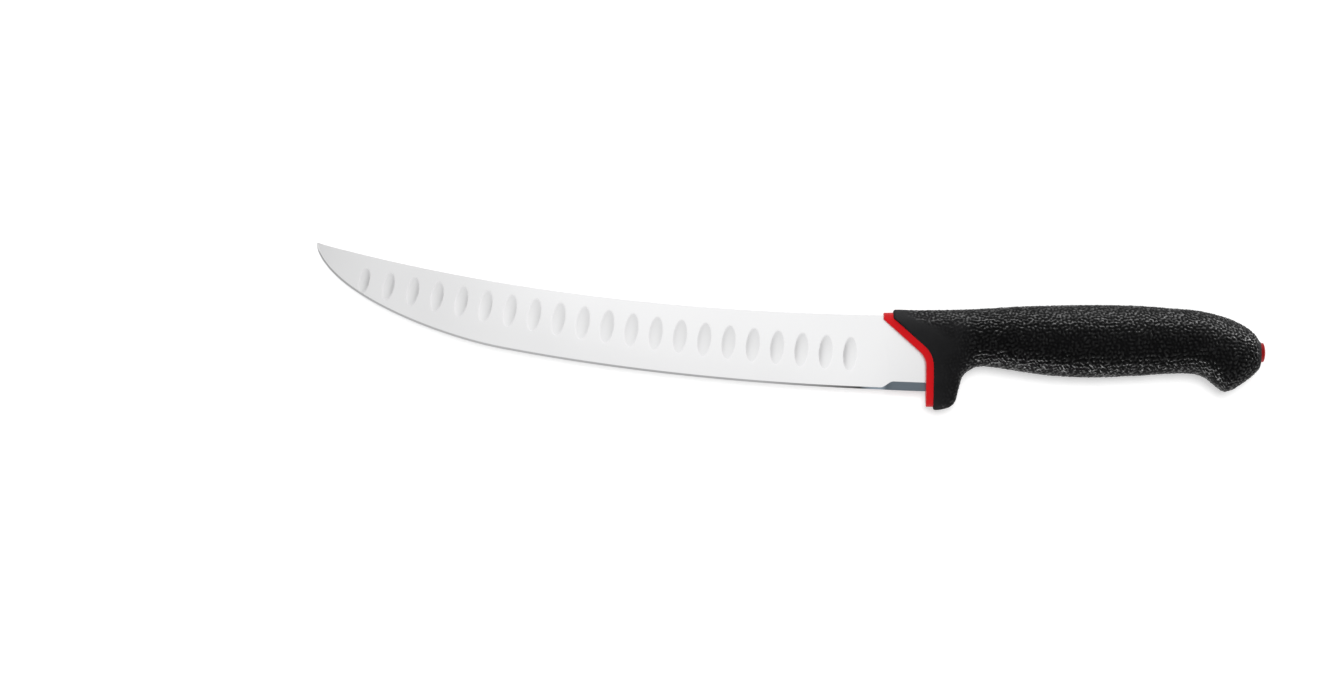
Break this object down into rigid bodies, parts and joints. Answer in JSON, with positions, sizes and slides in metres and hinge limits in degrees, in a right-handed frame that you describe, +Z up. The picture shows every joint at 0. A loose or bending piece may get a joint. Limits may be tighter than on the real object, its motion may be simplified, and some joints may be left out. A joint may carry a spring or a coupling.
{
  "type": "carving knife",
  "caption": "Carving knife with a long upswept scalloped steel blade, a hard collar and a soft grained grip with a finger guard and a hooked butt.",
  "frame": {"origin": "centre of the knife's outline in plan, at the level of the lower side of the grip as the knife lies on its side", "axes": "+X along the knife from the tip to the butt, +Y across it towards the spine, +Z up through its thickness"},
  "size_m": [0.389, 0.0688, 0.0256],
  "materials": {
    "steel": "fine brushed, bright",
    "hard_core": "satin moulded red",
    "soft_grip": "soft black with a pebbled grain"
  },
  "bodies": {
    "root": {"blade": "steel", "handle_core": "hard_core", "grip": "soft_grip"}
  },
  "joints": []
}
